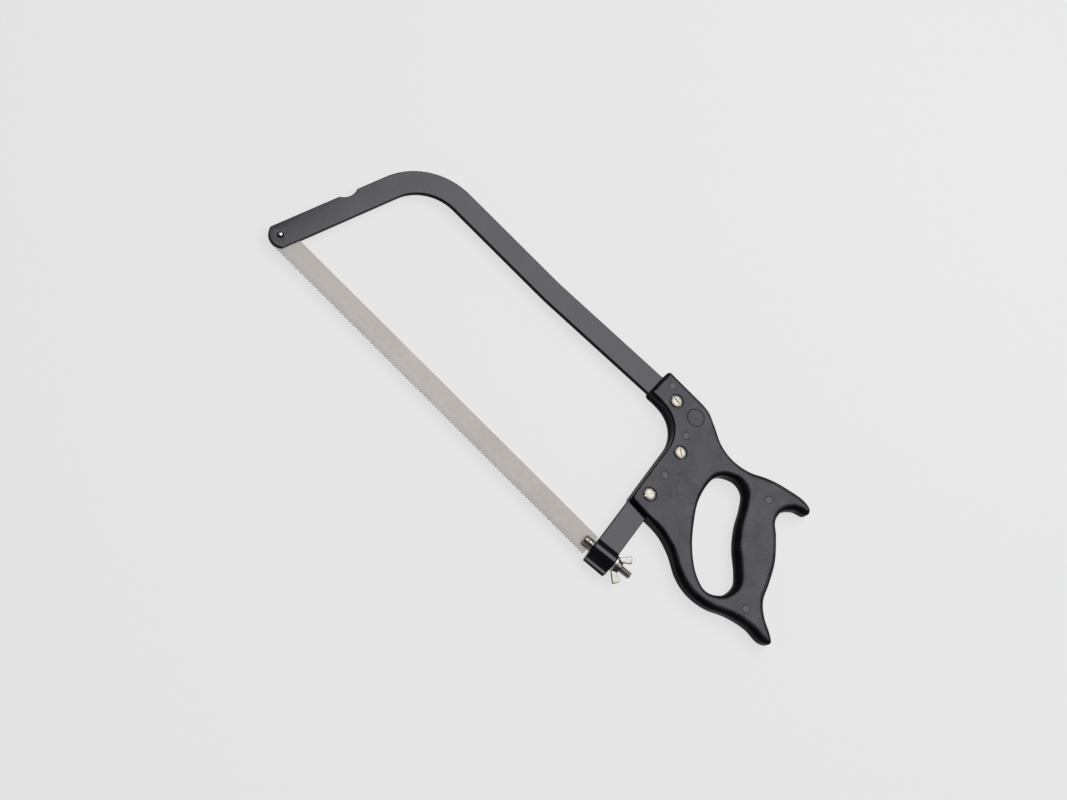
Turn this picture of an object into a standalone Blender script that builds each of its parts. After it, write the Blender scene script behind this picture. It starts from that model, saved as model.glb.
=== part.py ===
"""Butcher saw lying on its side: a bent steel bow, a moulded handle and a blade tightened by a wing nut.

The saw is drawn with its toe pin at the start of X, X along the blade towards the handle, Y from the
teeth to the back of the bow and Z out of the side that faces up. The origin is then set under its middle.
"""

import math

import bmesh
import bpy
from mathutils import Matrix, Vector

# Blade, in metres like every length below
BLADE_SPAN = 0.4064
BLADE_WIDTH = 0.0232
BLADE_BACK = 0.0108
BLADE_THICKNESS = 0.0008
BLADE_TOE_OVERHANG = 0.0070
BLADE_TAIL_OVERHANG = 0.0024
BLADE_CORNER = 0.0040
TOOTH_PITCH = 0.0029
TOOTH_DEPTH = 0.0016
TOOTH_RAKE = 0.35

# Bow, a flat bar bent on edge
BAR_WIDTH = 0.0234
BAR_THICKNESS = 0.0060
BAR_EDGE_RADIUS = 0.0006
FRONT_LEAN = math.radians(16.0)
SPINE_HEIGHT = 0.1588
SPINE_RISE = math.radians(2.9)
RISE_START = 0.2140
FRONT_BEND_RADIUS = 0.0580
RISE_BEND_RADIUS = 0.3000
REAR_BEND_RADIUS = 0.0450
REAR_LEAN = math.radians(5.2)
TOE_END = 0.0106
TOE_RADIUS = 0.0136
TOE_PIN_OFFSET = 0.0008
KERF_CLEARANCE = 0.0008
NOTCH_HEIGHT = 0.0800
NOTCH_LENGTH = 0.0195
NOTCH_DEPTH = 0.0036

# Eye at the lower end of the bow, and the draw bolt through it
EYE_TILT = math.radians(6.5)
EYE_RADIUS = 0.0087
EYE_PROUD = 0.0005
EYE_TO_BAR_END = 0.0163
BOLT_RADIUS = 0.0036
BOLT_HEAD_RADIUS = 0.0055
BOLT_HEAD_FRONT = 0.0061
BOLT_HEAD_BACK = 0.0042
BOLT_SLOT_BEHIND_BLADE = 0.0004
BOLT_BEYOND_NUT = 0.0118
BOLT_CHAMFER = 0.0006

# Washer and wing nut
WASHER_RADIUS = 0.0083
WASHER_THICKNESS = 0.0020
HUB_BASE_RADIUS = 0.0070
HUB_TOP_RADIUS = 0.0054
HUB_LENGTH = 0.0058
WING_SPAN = 0.0346
WING_THICKNESS = 0.0024
WING_ROOT_OUTER = 0.0082
WING_ROOT_INNER = 0.0050
WING_ROOT_START = 0.0004
WING_ROOT_END = 0.0036
WING_TIP_START = 0.0084
WING_TIP_END = 0.0130
WING_TIP_INNER = 0.0106
WING_CORNER = 0.0016
WING_ROOT_CORNER = 0.0004

# Pins
TOE_PIN_RADIUS = 0.0020
TOE_PIN_DOME = 0.0012
TOE_SINK_RADIUS = 0.0036
TOE_SINK_DEPTH = 0.0012
TAIL_PIN_RADIUS = 0.0016
TAIL_PIN_DOME = 0.0005
SLACK = 0.0025

# Handle moulding
HANDLE_THICKNESS = 0.0200
HANDLE_EDGE_RADIUS = 0.0030
HANDLE_REACH = 0.0580
HANDLE_DROP = 0.1096
BAR_INSET = 0.0006
HANDLE_CORNER = 0.0034

# Handle outline, as offsets from the corner of the rear bend: along the foot, the lower tip, the palm side,
# the beak and the top
HANDLE_SWELL = (
    (0.0101, -0.1094),
    (0.0281, -0.1104),
    (0.0449, -0.1121),
    (0.0617, -0.1185),
    (0.0818, -0.1304),
    (0.1010, -0.1345),
    (0.1212, -0.1315),
    (0.1412, -0.1224),
    (0.1623, -0.1172),
    (0.1803, -0.1180),
    (0.1886, -0.1130),
    (0.1826, -0.1066),
    (0.1688, -0.0990),
    (0.1571, -0.0869),
    (0.1506, -0.0690),
    (0.1416, -0.0485),
    (0.1275, -0.0294),
    (0.1168, -0.0176),
    (0.1157, -0.0046),
    (0.1247, 0.0070),
    (0.1360, 0.0120),
    (0.1353, 0.0186),
    (0.1236, 0.0209),
    (0.1043, 0.0169),
    (0.0842, 0.0097),
    (0.0661, 0.0001),
    (0.0471, -0.0039),
    (0.0283, -0.0008),
    (0.0114, 0.0083),
    (-0.0047, 0.0158),
    (-0.0219, 0.0168),
    (-0.0379, 0.0166),
)

# Finger hole, from the same corner: round the top, down the waved grip side and up the straighter side
FINGER_HOLE = (
    (0.0436, -0.0377),
    (0.0482, -0.0234),
    (0.0619, -0.0157),
    (0.0753, -0.0186),
    (0.0844, -0.0322),
    (0.0918, -0.0498),
    (0.1038, -0.0678),
    (0.1193, -0.0838),
    (0.1273, -0.0961),
    (0.1243, -0.1124),
    (0.1097, -0.1221),
    (0.0912, -0.1161),
    (0.0724, -0.0997),
    (0.0565, -0.0777),
    (0.0470, -0.0588),
)

# Handle screws and their nuts
SCREW_STATIONS = (-0.0242, 0.0308, 0.0851)
SCREW_SLOT_ANGLES = (math.radians(-4.0), math.radians(-38.0), math.radians(62.0))
SCREW_RADIUS = 0.0026
SCREW_HEAD_RADIUS = 0.0058
SCREW_HEAD_RIM = 0.0008
SCREW_HEAD_DOME = 0.0014
SCREW_SLOT_WIDTH = 0.0012
SCREW_SLOT_DEPTH = 0.0010
COUNTERBORE_GAP = 0.0010
COUNTERBORE_DEPTH = 0.0011
NUT_RADIUS = 0.0055
NUT_LENGTH = 0.0040
NUT_SUNK = 0.0006
SCREW_END_SUNK = 0.0016

# Clearances
FIT_GAP = 0.0003
BLADE_HOLE_GAP = 0.0005
BORE_GAP = 0.0004
CUT_MARGIN = 0.0100

# Mesh fineness
ARC_STEP = math.radians(6.0)
ROUND_STEPS = 32
SMALL_ROUND_STEPS = 24

# Colour, metallic and roughness of each material
LOOKS = {
    "black_paint": ((0.012, 0.012, 0.014), 0.0, 0.35),
    "black_plastic": ((0.018, 0.018, 0.020), 0.0, 0.45),
    "blade_steel": ((0.62, 0.60, 0.58), 1.0, 0.35),
    "bolt_steel": ((0.24, 0.20, 0.17), 1.0, 0.40),
    "bright_nickel": ((0.78, 0.74, 0.67), 1.0, 0.22),
    "zinc_plate": ((0.70, 0.69, 0.66), 1.0, 0.35),
}


def clear_scene():
    for item in list(bpy.data.objects):
        bpy.data.objects.remove(item, do_unlink=True)


def make_collection(name):
    collection = bpy.data.collections.new(name)
    bpy.context.scene.collection.children.link(collection)
    return collection


def make_material(name):
    colour, metallic, roughness = LOOKS[name]
    material = bpy.data.materials.new(name)
    material.use_nodes = True
    shader = material.node_tree.nodes["Principled BSDF"]
    shader.inputs["Base Color"].default_value = (*colour, 1.0)
    shader.inputs["Metallic"].default_value = metallic
    shader.inputs["Roughness"].default_value = roughness
    material.diffuse_color = (*colour, 1.0)
    return material


def make_empty(name, parent=None, location=(0, 0, 0), turn=0.0):
    empty = bpy.data.objects.new(name, None)
    parts.objects.link(empty)
    empty.parent = parent
    empty.location = location
    empty.rotation_euler = (0, 0, turn)
    return empty


def add_part(name, mesh, look, parent, location=(0, 0, 0), rotation=(0, 0, 0)):
    part = bpy.data.objects.new(name, mesh)
    parts.objects.link(part)
    part.parent = parent
    part.location = location
    part.rotation_euler = rotation
    mesh.materials.append(make_material(look))
    mesh.shade_smooth()
    mesh.set_sharp_from_angle(angle=math.radians(35))
    return part


def add_cutter(name, mesh, parent, location=(0, 0, 0), rotation=(0, 0, 0)):
    cutter = bpy.data.objects.new(name, mesh)
    cutters.objects.link(cutter)
    cutter.parent = parent
    cutter.location = location
    cutter.rotation_euler = rotation
    cutter.hide_render = True
    cutter.display_type = "WIRE"
    return cutter


def combine(part, tool, operation="DIFFERENCE"):
    modifier = part.modifiers.new(tool.name, "BOOLEAN")
    modifier.operation = operation
    modifier.object = tool
    modifier.solver = "EXACT"


def box_mesh(name, low, high):
    mesh = bpy.data.meshes.new(name)
    low, high = Vector(low), Vector(high)
    size = Matrix.Diagonal((*(high - low), 1))
    shape = bmesh.new()
    bmesh.ops.create_cube(shape, size=1, matrix=Matrix.Translation((low + high) / 2) @ size)
    shape.to_mesh(mesh)
    shape.free()
    return mesh


def rod_mesh(name, radius, bottom, top, end_radius=None, steps=ROUND_STEPS):
    """A cylinder or cone about Z between two heights."""
    mesh = bpy.data.meshes.new(name)
    shape = bmesh.new()
    bmesh.ops.create_cone(
        shape,
        cap_ends=True,
        segments=steps,
        radius1=radius,
        radius2=radius if end_radius is None else end_radius,
        depth=top - bottom,
        matrix=Matrix.Translation((0, 0, (bottom + top) / 2)),
    )
    shape.to_mesh(mesh)
    shape.free()
    return mesh


def turned_mesh(name, profile, steps=ROUND_STEPS):
    """A profile of (radius, height) points from the top centre to the bottom centre, spun about Z."""
    line = bpy.data.meshes.new(name + "_profile")
    points = [(radius, 0, height) for radius, height in profile]
    line.from_pydata(points, [(i, i + 1) for i in range(len(points) - 1)], [])
    spun = bpy.data.objects.new(name + "_spun", line)
    parts.objects.link(spun)
    screw = spun.modifiers.new("Screw", "SCREW")
    screw.steps = screw.render_steps = steps
    screw.use_merge_vertices = True
    screw.merge_threshold = 0.00001
    return take_mesh(spun, name)


def outline_mesh(name, loops, thickness, edge_radius=0.0):
    """A flat plate about Z = 0 with the first loop as its rim and the others as holes."""
    curve = bpy.data.curves.new(name + "_outline", "CURVE")
    curve.dimensions = "2D"
    curve.fill_mode = "BOTH"
    curve.extrude = thickness / 2 - edge_radius
    curve.bevel_depth = edge_radius
    curve.bevel_resolution = 2
    curve.offset = -edge_radius
    for loop in loops:
        spline = curve.splines.new("POLY")
        spline.points.add(len(loop) - 1)
        for point, place in zip(spline.points, loop):
            point.co = (place[0], place[1], 0, 1)
        spline.use_cyclic_u = True
    plate = bpy.data.objects.new(name + "_plate", curve)
    parts.objects.link(plate)
    return take_mesh(plate, name)


def take_mesh(source, name):
    """The evaluated mesh of an object, welded shut, in place of that object."""
    bpy.context.view_layer.update()
    graph = bpy.context.evaluated_depsgraph_get()
    mesh = bpy.data.meshes.new_from_object(source.evaluated_get(graph))
    mesh.name = name
    bpy.data.objects.remove(source, do_unlink=True)
    shape = bmesh.new()
    shape.from_mesh(mesh)
    bmesh.ops.remove_doubles(shape, verts=shape.verts, dist=0.00001)
    bmesh.ops.recalc_face_normals(shape, faces=shape.faces)
    shape.to_mesh(mesh)
    shape.free()
    return mesh


def arc(centre, radius, start, end):
    """Points from one angle to another about a centre."""
    count = max(2, math.ceil(abs(end - start) / ARC_STEP))
    angles = [start + (end - start) * i / count for i in range(count + 1)]
    return [Vector((centre[0] + radius * math.cos(a), centre[1] + radius * math.sin(a))) for a in angles]


def circle(centre, radius, steps=SMALL_ROUND_STEPS):
    angles = [math.tau * i / steps for i in range(steps)]
    return [(centre[0] + radius * math.cos(a), centre[1] + radius * math.sin(a)) for a in angles]


def heading(angle):
    return Vector((math.cos(angle), math.sin(angle)))


def left_of(direction):
    return Vector((-direction.y, direction.x))


def rounded_path(corners, radii):
    """(point, left normal) pairs along straight runs joined by arcs that turn clockwise or anticlockwise."""
    first = (corners[1] - corners[0]).normalized()
    pairs = [(corners[0], left_of(first))]
    for before, corner, after, radius in zip(corners, corners[1:], corners[2:], radii):
        into = (corner - before).normalized()
        out = (after - corner).normalized()
        turn = math.atan2(into.cross(out), into.dot(out))
        start = corner - into * radius * math.tan(abs(turn) / 2)
        side = left_of(into) * math.copysign(1, turn)
        centre = start + side * radius
        count = max(2, math.ceil(abs(turn) / ARC_STEP))
        for i in range(count + 1):
            spin = Matrix.Rotation(turn * i / count, 2)
            pairs.append((centre - spin @ side * radius, left_of(spin @ into)))
    last = (corners[-1] - corners[-2]).normalized()
    pairs.append((corners[-1], left_of(last)))
    return pairs


def smooth_curve(points, steps=5):
    """Catmull-Rom points through a list of places, from the second to the last but one."""
    places = [Vector(p) for p in points]
    curve = []
    for a, b, c, d in zip(places, places[1:], places[2:], places[3:]):
        for i in range(steps):
            t = i / steps
            slope_b, slope_c = (c - a) / 2, (d - b) / 2
            bend = 3 * (c - b) - 2 * slope_b - slope_c
            twist = 2 * (b - c) + slope_b + slope_c
            curve.append(b + slope_b * t + bend * t**2 + twist * t**3)
    return curve + [places[-2]]


# Places that several pieces share
leg_direction = heading(math.pi / 2 - FRONT_LEAN)
bolt_direction = heading(EYE_TILT)
tail_direction = heading(REAR_LEAN - math.pi / 2)
eye_length = BAR_WIDTH + 2 * EYE_PROUD
eye_from_pin = BOLT_HEAD_BACK + BORE_GAP + eye_length / 2
eye_centre = Vector((BLADE_SPAN, 0)) + bolt_direction * eye_from_pin
kerf_width = BLADE_THICKNESS + 2 * FIT_GAP
washer_start = eye_from_pin + eye_length / 2 + FIT_GAP
nut_start = washer_start + WASHER_THICKNESS + FIT_GAP


def bow_corners():
    """Centre line of the bar: toe, front bend, start of the rise, rear bend and lower end."""
    beside_pin = left_of(leg_direction) * -TOE_PIN_OFFSET
    front = beside_pin + leg_direction * ((SPINE_HEIGHT - beside_pin.y) / leg_direction.y)
    rise = Vector((RISE_START, SPINE_HEIGHT))
    climb = heading(SPINE_RISE)
    reach = (eye_centre - rise).cross(tail_direction) / climb.cross(tail_direction)
    rear = rise + climb * reach
    toe = beside_pin + leg_direction * (TOE_RADIUS - TOE_END)
    return [toe, front, rise, rear, eye_centre + tail_direction * EYE_TO_BAR_END]


def bar_outline(outer, inner, corners, radii):
    """Rim of a bar that reaches two given distances to the left and right of its centre line."""
    path = rounded_path(corners, radii)
    return [p + n * outer for p, n in path], [p - n * inner for p, n in path]


bow_path = bow_corners()
bow_radii = (FRONT_BEND_RADIUS, RISE_BEND_RADIUS, REAR_BEND_RADIUS)
rear_corner = bow_path[3]


def bar_station(distance):
    """Point on the bar's centre line, at a distance past the middle of the rear bend."""
    climb = heading(SPINE_RISE)
    turn = SPINE_RISE - REAR_LEAN + math.pi / 2
    half_arc = REAR_BEND_RADIUS * turn / 2
    run = REAR_BEND_RADIUS * math.tan(turn / 2)
    if distance > half_arc:
        return rear_corner + tail_direction * (run + distance - half_arc)
    if distance < -half_arc:
        return rear_corner - climb * (run - distance - half_arc)
    centre = rear_corner - climb * run - left_of(climb) * REAR_BEND_RADIUS
    angle = SPINE_RISE + math.pi / 2 - (distance + half_arc) / REAR_BEND_RADIUS
    return centre + heading(angle) * REAR_BEND_RADIUS


screw_places = [bar_station(distance) for distance in SCREW_STATIONS]


def make_frame():
    outer, inner = bar_outline(BAR_WIDTH / 2, BAR_WIDTH / 2, bow_path, bow_radii)
    reach = math.asin(BAR_WIDTH / 2 / TOE_RADIUS)
    down = -math.pi / 2 - FRONT_LEAN
    toe_arc = arc(bow_path[0], TOE_RADIUS, down + reach, down - reach)
    rim = outer[1:] + inner[:0:-1] + toe_arc
    frame = add_part("frame", outline_mesh("frame", [rim], BAR_THICKNESS), "black_paint", saw)
    bevel = frame.modifiers.new("Edges", "BEVEL")
    bevel.width = BAR_EDGE_RADIUS
    bevel.segments = 2
    bevel.limit_method = "ANGLE"
    bevel.angle_limit = math.radians(60)

    barrel = rod_mesh("eye_barrel", EYE_RADIUS, -eye_length / 2, eye_length / 2)
    along_bolt = (0, math.pi / 2, 0)
    combine(frame, add_cutter("eye_barrel", barrel, draw_axis, (eye_from_pin, 0, 0), along_bolt), "UNION")
    bore = rod_mesh("eye_bore", BOLT_RADIUS + BORE_GAP, -eye_length, eye_length)
    combine(frame, add_cutter("eye_bore", bore, draw_axis, (eye_from_pin, 0, 0), along_bolt))

    inner_edge = BAR_WIDTH / 2 + TOE_PIN_OFFSET
    kerf_top = (BLADE_BACK + inner_edge * leg_direction.x) / leg_direction.y + KERF_CLEARANCE
    kerf_low = (-CUT_MARGIN - TOE_END, -BAR_WIDTH, -kerf_width / 2)
    kerf = box_mesh("kerf", kerf_low, (kerf_top, BAR_WIDTH, kerf_width / 2))
    combine(frame, add_cutter("kerf", kerf, saw, (0, 0, 0), (0, 0, math.pi / 2 - FRONT_LEAN)))

    half_notch = NOTCH_LENGTH / 2
    notch_radius = (half_notch**2 + NOTCH_DEPTH**2) / (2 * NOTCH_DEPTH)
    notch_reach = BAR_WIDTH / 2 + notch_radius - NOTCH_DEPTH - TOE_PIN_OFFSET
    notch_place = leg_direction * NOTCH_HEIGHT + left_of(leg_direction) * notch_reach
    notch = rod_mesh("notch", notch_radius, -BAR_THICKNESS, BAR_THICKNESS, steps=64)
    combine(frame, add_cutter("notch", notch, saw, (*notch_place, 0)))

    half = BAR_THICKNESS / 2
    pin_hole = rod_mesh("toe_pin_hole", TOE_PIN_RADIUS + FIT_GAP, -BAR_THICKNESS, BAR_THICKNESS)
    combine(frame, add_cutter("toe_pin_hole", pin_hole, saw))
    for name, turn in (("toe_sink_front", 0), ("toe_sink_back", math.pi)):
        wide = TOE_SINK_RADIUS + TOE_SINK_RADIUS - TOE_PIN_RADIUS
        sink = rod_mesh(name, TOE_PIN_RADIUS, half - TOE_SINK_DEPTH, half + TOE_SINK_DEPTH, wide)
        combine(frame, add_cutter(name, sink, saw, (0, 0, 0), (turn, 0, 0)))
    for i, place in enumerate(screw_places, 1):
        radius = SCREW_RADIUS + FIT_GAP
        hole = rod_mesh("bar_hole", radius, -BAR_THICKNESS, BAR_THICKNESS, steps=SMALL_ROUND_STEPS)
        combine(frame, add_cutter(f"bar_hole_{i}", hole, saw, (*place, 0)))


def handle_rim():
    """Outline of the moulding, anticlockwise from the end that the spine enters."""
    wall_offset = BAR_WIDTH / 2 + BAR_INSET
    _, wall = bar_outline(0, wall_offset, bow_path[2:], (REAR_BEND_RADIUS,))
    wall = wall[1:-1]
    climb, drop = heading(SPINE_RISE), tail_direction
    end = wall[0] + climb * ((rear_corner.x - HANDLE_REACH - wall[0].x) / climb.x)
    foot = wall[-1] + drop * ((rear_corner.y - HANDLE_DROP - wall[-1].y) / drop.y)
    swell = smooth_curve([rear_corner + Vector(offset) for offset in HANDLE_SWELL])
    top = Vector((end.x, swell[-1].y))
    return join_outline(end, foot, top, wall, swell)


def join_outline(end, foot, top, wall, swell):
    """Joins the wall and the swelling outline with small rounds at the three square corners."""
    size = HANDLE_CORNER
    end_round = arc(end + Vector((size, size)), size, math.pi, 1.5 * math.pi)
    foot_round = arc(foot + Vector((size, size)), size, math.pi, 1.5 * math.pi)
    top_round = arc(top + Vector((size, -size)), size, 0.5 * math.pi, math.pi)
    return end_round + wall + foot_round + swell + top_round


def finger_hole():
    """Outline of the finger hole: a slanted loop with a waved side towards the palm."""
    return [rear_corner + Vector(offset) for offset in FINGER_HOLE]


def closed_curve(points):
    return smooth_curve([points[-1], *points, points[0], points[1]])[:-1]


def make_handle():
    loops = [handle_rim(), closed_curve(finger_hole())]
    mesh = outline_mesh("handle", loops, HANDLE_THICKNESS, HANDLE_EDGE_RADIUS)
    handle = add_part("handle", mesh, "black_plastic", saw)
    half = HANDLE_THICKNESS / 2
    outer, inner = bar_outline(BAR_WIDTH / 2 + FIT_GAP, BAR_WIDTH, bow_path[2:], (REAR_BEND_RADIUS,))
    slot = outline_mesh("bar_slot", [outer + inner[::-1]], BAR_THICKNESS + 2 * FIT_GAP)
    combine(handle, add_cutter("bar_slot", slot, saw))
    for i, place in enumerate(screw_places, 1):
        holes = (
            ("screw_hole", SCREW_RADIUS + FIT_GAP, -HANDLE_THICKNESS, HANDLE_THICKNESS),
            ("head_sink", SCREW_HEAD_RADIUS + COUNTERBORE_GAP, half - COUNTERBORE_DEPTH, HANDLE_THICKNESS),
            ("nut_sink", NUT_RADIUS + FIT_GAP, -HANDLE_THICKNESS, NUT_SUNK + NUT_LENGTH + FIT_GAP - half),
        )
        for name, radius, low, high in holes:
            mesh = rod_mesh(name, radius, low, high)
            combine(handle, add_cutter(f"{name}_{i}", mesh, saw, (*place, 0)))


def make_handle_screws():
    half = HANDLE_THICKNESS / 2
    seat = half - COUNTERBORE_DEPTH + FIT_GAP
    rim = seat + SCREW_HEAD_RIM
    crown = rim + SCREW_HEAD_DOME
    tip = SCREW_END_SUNK - half
    dome = []
    for i in range(5):
        share = math.pi / 2 * i / 4
        dome.append((SCREW_HEAD_RADIUS * math.sin(share), rim + SCREW_HEAD_DOME * math.cos(share)))
    profile = [*dome, (SCREW_HEAD_RADIUS, seat), (SCREW_RADIUS, seat), (SCREW_RADIUS, tip), (0, tip)]
    for i, (place, turn) in enumerate(zip(screw_places, SCREW_SLOT_ANGLES), 1):
        mesh = turned_mesh("handle_screw", profile, SMALL_ROUND_STEPS)
        screw = add_part(f"handle_screw_{i}", mesh, "bright_nickel", saw, (*place, 0), (0, 0, turn))
        reach, half_slot = 2 * SCREW_HEAD_RADIUS, SCREW_SLOT_WIDTH / 2
        slot = box_mesh("slot", (-reach, -half_slot, crown - SCREW_SLOT_DEPTH), (reach, half_slot, 2 * half))
        combine(screw, add_cutter(f"screw_slot_{i}", slot, screw))


def make_handle_nuts():
    low = NUT_SUNK - HANDLE_THICKNESS / 2
    for i, (place, turn) in enumerate(zip(screw_places, SCREW_SLOT_ANGLES), 1):
        mesh = rod_mesh("handle_nut", NUT_RADIUS, low, low + NUT_LENGTH)
        nut = add_part(f"handle_nut_{i}", mesh, "bright_nickel", saw, (*place, 0), (0, 0, -turn))
        bore = rod_mesh("nut_bore", SCREW_RADIUS + FIT_GAP, -HANDLE_THICKNESS, 0, steps=SMALL_ROUND_STEPS)
        combine(nut, add_cutter(f"nut_bore_{i}", bore, nut))
        reach, half_slot = 2 * NUT_RADIUS, SCREW_SLOT_WIDTH / 2
        slot_low = (-reach, -half_slot, -HANDLE_THICKNESS)
        slot = box_mesh("slot", slot_low, (reach, half_slot, low + SCREW_SLOT_DEPTH))
        combine(nut, add_cutter(f"nut_slot_{i}", slot, nut))


def make_blade():
    points = BLADE_BACK - BLADE_WIDTH
    toe, tail = -BLADE_TOE_OVERHANG - BLADE_SPAN, BLADE_TAIL_OVERHANG
    gum = points + TOOTH_DEPTH
    rim = [Vector((tail, gum)), Vector((tail, BLADE_BACK)), Vector((toe, BLADE_BACK))]
    rim += arc((toe + BLADE_CORNER, gum + BLADE_CORNER), BLADE_CORNER, math.pi, 1.5 * math.pi)
    start = toe + BLADE_CORNER + TOOTH_PITCH
    for i in range(int((tail - start) / TOOTH_PITCH)):
        x = start + i * TOOTH_PITCH
        rim += [Vector((x, gum)), Vector((x + TOOTH_RAKE * TOOTH_PITCH, points))]
    toe_hole, tail_hole = TOE_PIN_RADIUS + BLADE_HOLE_GAP, TAIL_PIN_RADIUS + FIT_GAP
    slot = arc((-BLADE_SPAN, 0), toe_hole, math.pi / 2, 1.5 * math.pi)
    slot += arc((-BLADE_SPAN + SLACK, 0), toe_hole, -math.pi / 2, math.pi / 2)
    mesh = outline_mesh("blade", [rim, slot, circle((0, 0), tail_hole)], BLADE_THICKNESS)
    add_part("blade", mesh, "blade_steel", draw_axis, (0, 0, 0), (0, 0, -EYE_TILT))


def domed_pin(radius, half_length, dome):
    """Profile of a pin whose two ends swell into shallow domes."""
    angles = [math.pi / 8 * i for i in range(5)]
    top = [(radius * math.sin(a), half_length + dome * math.cos(a)) for a in angles]
    return top + [(r, -height) for r, height in reversed(top)]


def make_pins():
    toe = domed_pin(TOE_PIN_RADIUS, BAR_THICKNESS / 2, TOE_PIN_DOME)
    add_part("toe_pin", turned_mesh("toe_pin", toe, SMALL_ROUND_STEPS), "bright_nickel", saw)
    tail = domed_pin(TAIL_PIN_RADIUS, BOLT_HEAD_RADIUS, TAIL_PIN_DOME)
    add_part("tail_pin", turned_mesh("tail_pin", tail, SMALL_ROUND_STEPS), "zinc_plate", draw_axis)


def make_draw_bolt():
    tip = nut_start + HUB_LENGTH + BOLT_BEYOND_NUT
    profile = [
        (0, tip),
        (BOLT_RADIUS - BOLT_CHAMFER, tip),
        (BOLT_RADIUS, tip - BOLT_CHAMFER),
        (BOLT_RADIUS, BOLT_HEAD_BACK),
        (BOLT_HEAD_RADIUS - BOLT_CHAMFER, BOLT_HEAD_BACK),
        (BOLT_HEAD_RADIUS, BOLT_HEAD_BACK - BOLT_CHAMFER),
        (BOLT_HEAD_RADIUS, BOLT_CHAMFER - BOLT_HEAD_FRONT),
        (BOLT_HEAD_RADIUS - BOLT_CHAMFER, -BOLT_HEAD_FRONT),
        (0, -BOLT_HEAD_FRONT),
    ]
    mesh = turned_mesh("draw_bolt", profile)
    bolt = add_part("draw_bolt", mesh, "bolt_steel", draw_axis, (0, 0, 0), (0, math.pi / 2, 0))
    slot_end = BLADE_TAIL_OVERHANG + BOLT_SLOT_BEHIND_BLADE
    low = (-2 * BOLT_HEAD_FRONT, -2 * BOLT_HEAD_RADIUS, -kerf_width / 2)
    slot = box_mesh("bolt_slot", low, (slot_end, 2 * BOLT_HEAD_RADIUS, kerf_width / 2))
    combine(bolt, add_cutter("bolt_slot", slot, draw_axis, (0, 0, 0), (0, 0, -EYE_TILT)))
    reach = 2 * BOLT_HEAD_RADIUS
    hole = rod_mesh("bolt_pin_hole", TAIL_PIN_RADIUS + FIT_GAP, -reach, reach, steps=SMALL_ROUND_STEPS)
    combine(bolt, add_cutter("bolt_pin_hole", hole, draw_axis))


def make_washer():
    turn = (0, math.pi / 2, 0)
    mesh = rod_mesh("washer", WASHER_RADIUS, 0, WASHER_THICKNESS)
    washer = add_part("washer", mesh, "zinc_plate", draw_axis, (washer_start, 0, 0), turn)
    bore = rod_mesh("washer_bore", BOLT_RADIUS + BORE_GAP, -WASHER_THICKNESS, 2 * WASHER_THICKNESS)
    combine(washer, add_cutter("washer_bore", bore, washer))


def wing_outline(side):
    """One swept wing in the plane of the bolt's axis, on the side given as 1 or -1."""
    tip = WING_SPAN / 2
    corners = [
        Vector((WING_ROOT_START, 0)),
        Vector((WING_ROOT_START, WING_ROOT_OUTER)),
        Vector((WING_TIP_START, tip)),
        Vector((WING_TIP_END, WING_TIP_INNER)),
        Vector((WING_ROOT_END, WING_ROOT_INNER)),
        Vector((WING_ROOT_END, 0)),
    ]
    radii = (WING_ROOT_CORNER, WING_CORNER, WING_CORNER, WING_ROOT_CORNER)
    return [(p.x, p.y * side) for p, _ in rounded_path(corners, radii)]


def make_wing_nut():
    turn = (0, math.pi / 2, 0)
    mesh = rod_mesh("wing_nut", HUB_BASE_RADIUS, 0, HUB_LENGTH, HUB_TOP_RADIUS)
    nut = add_part("wing_nut", mesh, "bright_nickel", draw_axis, (nut_start, 0, 0), turn)
    for name, side in (("wing_upper", 1), ("wing_lower", -1)):
        wing = outline_mesh(name, [wing_outline(side)], WING_THICKNESS)
        combine(nut, add_cutter(name, wing, draw_axis, (nut_start, 0, 0)), "UNION")
    bore = rod_mesh("nut_thread", BOLT_RADIUS + FIT_GAP, -HUB_LENGTH, 4 * HUB_LENGTH)
    combine(nut, add_cutter("nut_thread", bore, nut))


def set_origin_under_middle():
    """Moves the saw so that the origin lies under the middle of its box, on the plane it rests on."""
    bpy.context.view_layer.update()
    graph = bpy.context.evaluated_depsgraph_get()
    corners = []
    for item in parts.objects:
        if item.type == "MESH":
            shape = item.evaluated_get(graph)
            corners += [shape.matrix_world @ Vector(corner) for corner in shape.bound_box]
    low = [min(c[i] for c in corners) for i in range(3)]
    high = [max(c[i] for c in corners) for i in range(3)]
    saw.location = (-(low[0] + high[0]) / 2, -(low[1] + high[1]) / 2, -low[2])


clear_scene()
parts = make_collection("butcher_saw")
cutters = make_collection("cutters")
cutters.hide_render = True
saw = make_empty("saw")
draw_axis = make_empty("draw_axis", saw, (BLADE_SPAN, 0, 0), EYE_TILT)
make_frame()
make_handle()
make_handle_screws()
make_handle_nuts()
make_blade()
make_pins()
make_draw_bolt()
make_washer()
make_wing_nut()
set_origin_under_middle()
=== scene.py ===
import math
import bmesh
import bpy
import numpy as np
from mathutils import Matrix, Vector
from mathutils.geometry import delaunay_2d_cdt


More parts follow.
